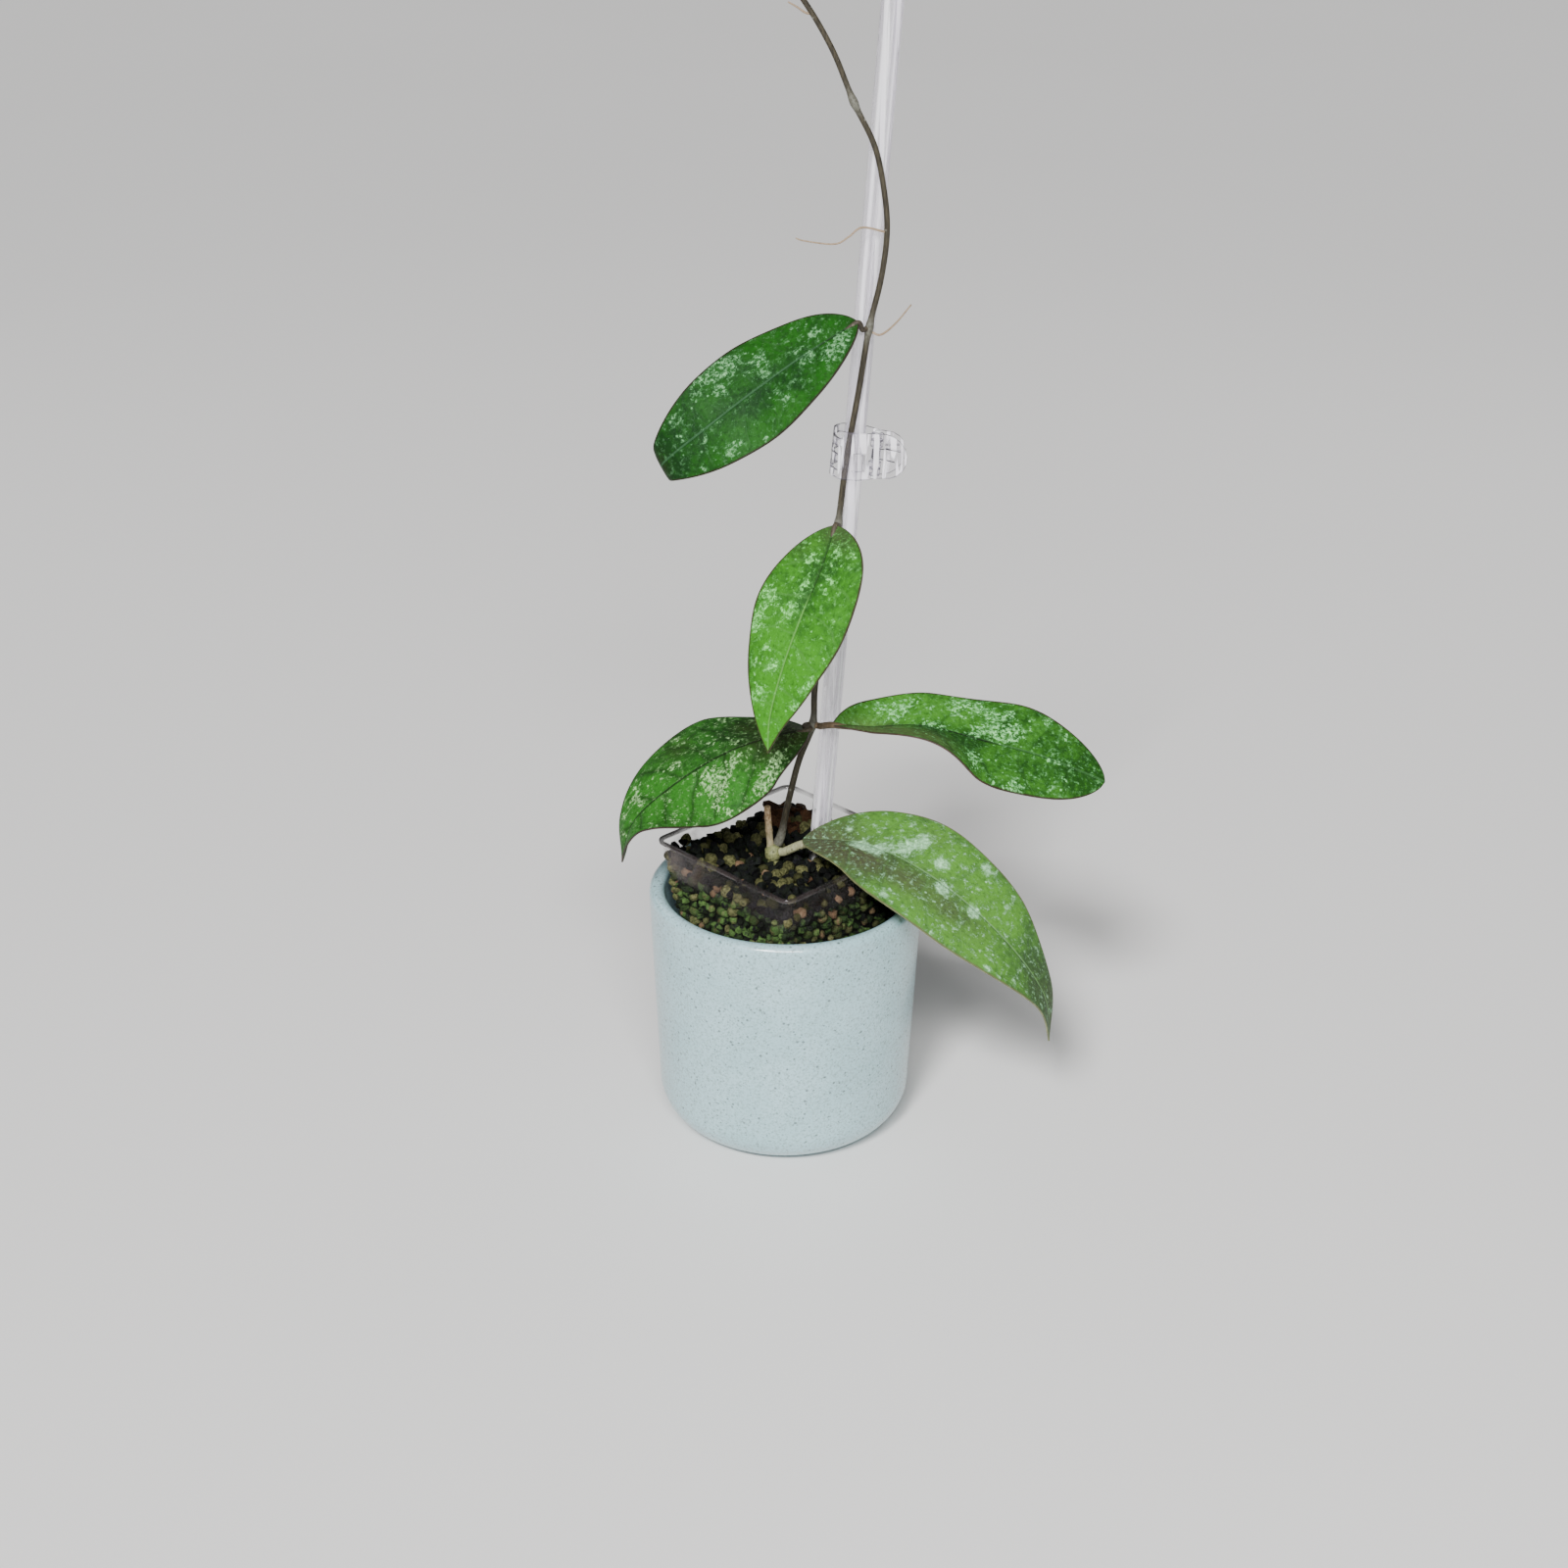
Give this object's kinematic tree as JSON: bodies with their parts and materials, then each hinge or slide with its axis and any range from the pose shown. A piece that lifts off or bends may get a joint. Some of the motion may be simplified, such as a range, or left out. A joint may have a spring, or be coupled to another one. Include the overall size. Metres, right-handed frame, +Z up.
{
  "type": "potted climbing plant",
  "caption": "Young climbing hoya with speckled leathery leaves in a clear square pot inside a round glazed cachepot, held to a clear upright stake by a claw clip.",
  "frame": {"origin": "centre of the cachepot's flat base, on the surface that it stands on", "axes": "+Z up, +X to the viewer's right and -Y towards the viewer of the picture; a corner of the square pot points at -Y"},
  "size_m": [0.1896, 0.1115, 0.4743],
  "materials": {
    "glaze": "glossy speckled glaze",
    "clear_pot": "thin clear plastic",
    "grit": "rough porous mineral grit",
    "old_stem": "dull",
    "stem": "dull",
    "clear_rod": "clear, polished",
    "leaf_olive": "waxy satin",
    "leaf_deep": "waxy satin",
    "leaf_green": "waxy satin",
    "leaf_light": "waxy satin",
    "clear_clip": "clear, moulded",
    "pin_metal": "bright",
    "spring_wire": "dark wire"
  },
  "bodies": {
    "plant": {"cachepot": "glaze", "nursery_pot": "clear_pot", "substrate": "grit", "cutting_base": "old_stem", "vine": "stem", "stake": "clear_rod", "leaf_basal": "leaf_olive", "leaf_lower_left": "leaf_deep", "leaf_lower_right": "leaf_green", "leaf_middle": "leaf_light", "leaf_upper": "leaf_deep", "clip_back_jaw": "clear_clip", "clip_pin": "pin_metal", "clip_spring": "spring_wire"},
    "clip_jaw": {"clip_front_jaw": "clear_clip", "clip_spring_arm": "spring_wire"}
  },
  "joints": [
    {"name": "clip_hinge", "type": "hinge", "parent": "plant", "child": "clip_jaw", "pos_m": [0.0322, 0.008, 0.2811], "axis": [0.0829, 0, 0.9966], "range_deg": [0, 35], "stiffness_Nm_per_rad": 0.01, "springref_deg": -34.38}
  ]
}
